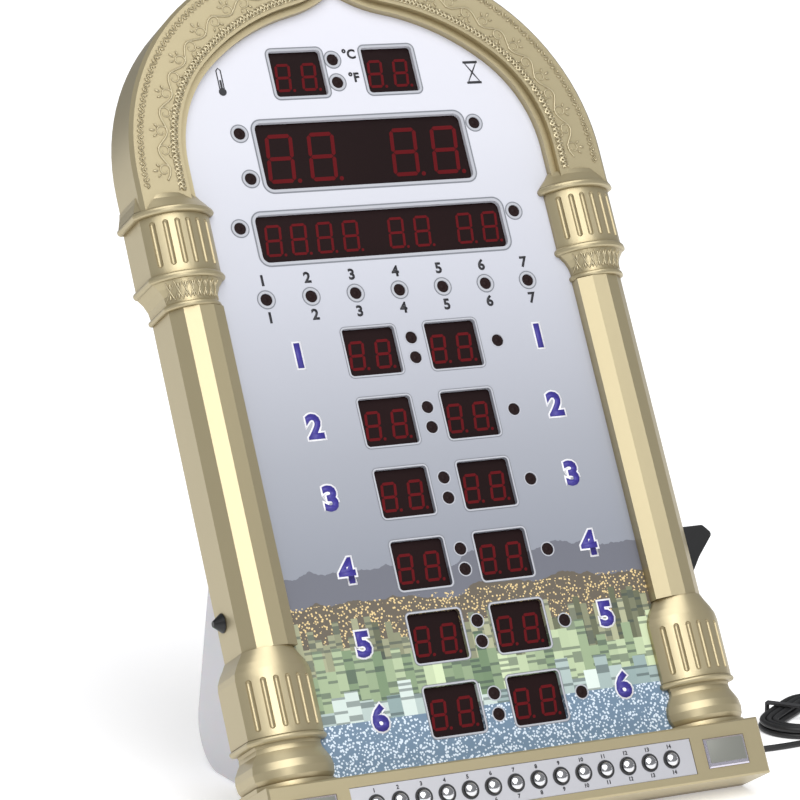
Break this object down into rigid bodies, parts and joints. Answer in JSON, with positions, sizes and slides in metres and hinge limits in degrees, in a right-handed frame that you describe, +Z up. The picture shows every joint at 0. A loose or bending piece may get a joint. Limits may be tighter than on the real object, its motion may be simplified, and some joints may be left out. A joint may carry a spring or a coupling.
{
  "type": "azan clock",
  "caption": "Desk clock with a keel-arch columned case, numeric display windows, a row of set buttons, side controls, mains cord and a folding rear leg.",
  "frame": {"origin": "middle of the flat on the plinth's rear lower edge, which lies on the table", "axes": "+Z up, +X to the right seen from the front, +Y to the back; the case leans back 28 degrees"},
  "size_m": [0.5145, 0.2709, 0.4596],
  "materials": {
    "gold_moulding": "satin cream-gold paint on moulded plastic",
    "cover_plastic": "fine grain",
    "face_print": "printed sheet, satin",
    "red_filter": "tinted acrylic",
    "digit_block": "unlit seven-segment block",
    "lamp_resin": "unlit red lamp",
    "board_laminate": "solder mask",
    "screw_steel": "zinc plated",
    "chip_resin": "moulded resin",
    "cell_steel": "polished",
    "silver_plate": "satin silver",
    "button_chrome": "polished dome",
    "speaker_steel": "black",
    "speaker_paper": "pressed pulp",
    "copper_winding": "enamelled wire under tape",
    "leg_plastic": "milky white",
    "bracket_steel": "grey",
    "pad_rubber": "soft",
    "black_plastic": "moulded",
    "cord_rubber": "soft black sheath",
    "tie_plastic": "twist tie",
    "pin_brass": "nickel plated"
  },
  "bodies": {
    "housing": {"backup_cell": "cell_steel", "board_screws": "screw_steel", "board_standoffs": "screw_steel", "button_board": "board_laminate", "button_strip": "silver_plate", "button_switches": "chip_resin", "case_moulding": "gold_moulding", "cell_holder": "chip_resin", "controller_chip": "chip_resin", "cord_hank": "cord_rubber", "cord_tail": "cord_rubber", "cord_tie": "tie_plastic", "cover_screws": "screw_steel", "date_digits": "digit_block", "date_filter": "red_filter", "day_lamps": "lamp_resin", "display_board": "board_laminate", "display_face": "face_print", "hinge_brackets": "bracket_steel", "hinge_pin": "screw_steel", "left_control": "chip_resin", "left_end_plate": "silver_plate", "mains_cord": "cord_rubber", "mains_plug": "black_plastic", "mode_lamps": "lamp_resin", "plug_pins": "pin_brass", "power_board": "board_laminate", "rear_cover": "cover_plastic", "right_control": "chip_resin", "right_end_plate": "silver_plate", "row_lamps": "lamp_resin", "small_digits": "digit_block", "small_filters": "red_filter", "smoothing_capacitors": "chip_resin", "speaker_basket": "speaker_steel", "speaker_cone": "speaker_paper", "speaker_magnet": "speaker_steel", "strain_relief": "black_plastic", "time_digits": "digit_block", "time_filter": "red_filter", "transformer_core": "screw_steel", "transformer_winding": "copper_winding"},
    "leg": {"leg_tray": "leg_plastic", "leg_pads": "pad_rubber"},
    "lever": {"side_lever": "black_plastic"},
    "knob": {"side_knob": "black_plastic"},
    "button_01": {"button_01": "button_chrome"},
    "button_02": {"button_02": "button_chrome"},
    "button_03": {"button_03": "button_chrome"},
    "button_04": {"button_04": "button_chrome"},
    "button_05": {"button_05": "button_chrome"},
    "button_06": {"button_06": "button_chrome"},
    "button_07": {"button_07": "button_chrome"},
    "button_08": {"button_08": "button_chrome"},
    "button_09": {"button_09": "button_chrome"},
    "button_10": {"button_10": "button_chrome"},
    "button_11": {"button_11": "button_chrome"},
    "button_12": {"button_12": "button_chrome"},
    "button_13": {"button_13": "button_chrome"},
    "button_14": {"button_14": "button_chrome"}
  },
  "joints": [
    {"name": "leg_fold", "type": "hinge", "parent": "housing", "child": "leg", "pos_m": [0, 0.12813, 0.22361], "axis": [-1, 0, 0], "range_deg": [0, 24]},
    {"name": "lever_turn", "type": "hinge", "parent": "housing", "child": "lever", "pos_m": [0.14, 0.05315, 0.11092], "axis": [1, 0, 0], "range_deg": [-60, 60]},
    {"name": "knob_turn", "type": "hinge", "parent": "housing", "child": "knob", "pos_m": [-0.14, 0.05315, 0.11092], "axis": [1, 0, 0], "range_deg": [-135, 135]},
    {"name": "button_01_press", "type": "slide", "parent": "housing", "child": "button_01", "axis": [0, 0.8829, -0.4695], "range_m": [0, 0.0006], "stiffness_N_per_m": 1500, "springref_m": -0.0004},
    {"name": "button_02_press", "type": "slide", "parent": "housing", "child": "button_02", "axis": [0, 0.8829, -0.4695], "range_m": [0, 0.0006], "stiffness_N_per_m": 1500, "springref_m": -0.0004},
    {"name": "button_03_press", "type": "slide", "parent": "housing", "child": "button_03", "axis": [0, 0.8829, -0.4695], "range_m": [0, 0.0006], "stiffness_N_per_m": 1500, "springref_m": -0.0004},
    {"name": "button_04_press", "type": "slide", "parent": "housing", "child": "button_04", "axis": [0, 0.8829, -0.4695], "range_m": [0, 0.0006], "stiffness_N_per_m": 1500, "springref_m": -0.0004},
    {"name": "button_05_press", "type": "slide", "parent": "housing", "child": "button_05", "axis": [0, 0.8829, -0.4695], "range_m": [0, 0.0006], "stiffness_N_per_m": 1500, "springref_m": -0.0004},
    {"name": "button_06_press", "type": "slide", "parent": "housing", "child": "button_06", "axis": [0, 0.8829, -0.4695], "range_m": [0, 0.0006], "stiffness_N_per_m": 1500, "springref_m": -0.0004},
    {"name": "button_07_press", "type": "slide", "parent": "housing", "child": "button_07", "axis": [0, 0.8829, -0.4695], "range_m": [0, 0.0006], "stiffness_N_per_m": 1500, "springref_m": -0.0004},
    {"name": "button_08_press", "type": "slide", "parent": "housing", "child": "button_08", "axis": [0, 0.8829, -0.4695], "range_m": [0, 0.0006], "stiffness_N_per_m": 1500, "springref_m": -0.0004},
    {"name": "button_09_press", "type": "slide", "parent": "housing", "child": "button_09", "axis": [0, 0.8829, -0.4695], "range_m": [0, 0.0006], "stiffness_N_per_m": 1500, "springref_m": -0.0004},
    {"name": "button_10_press", "type": "slide", "parent": "housing", "child": "button_10", "axis": [0, 0.8829, -0.4695], "range_m": [0, 0.0006], "stiffness_N_per_m": 1500, "springref_m": -0.0004},
    {"name": "button_11_press", "type": "slide", "parent": "housing", "child": "button_11", "axis": [0, 0.8829, -0.4695], "range_m": [0, 0.0006], "stiffness_N_per_m": 1500, "springref_m": -0.0004},
    {"name": "button_12_press", "type": "slide", "parent": "housing", "child": "button_12", "axis": [0, 0.8829, -0.4695], "range_m": [0, 0.0006], "stiffness_N_per_m": 1500, "springref_m": -0.0004},
    {"name": "button_13_press", "type": "slide", "parent": "housing", "child": "button_13", "axis": [0, 0.8829, -0.4695], "range_m": [0, 0.0006], "stiffness_N_per_m": 1500, "springref_m": -0.0004},
    {"name": "button_14_press", "type": "slide", "parent": "housing", "child": "button_14", "axis": [0, 0.8829, -0.4695], "range_m": [0, 0.0006], "stiffness_N_per_m": 1500, "springref_m": -0.0004}
  ]
}
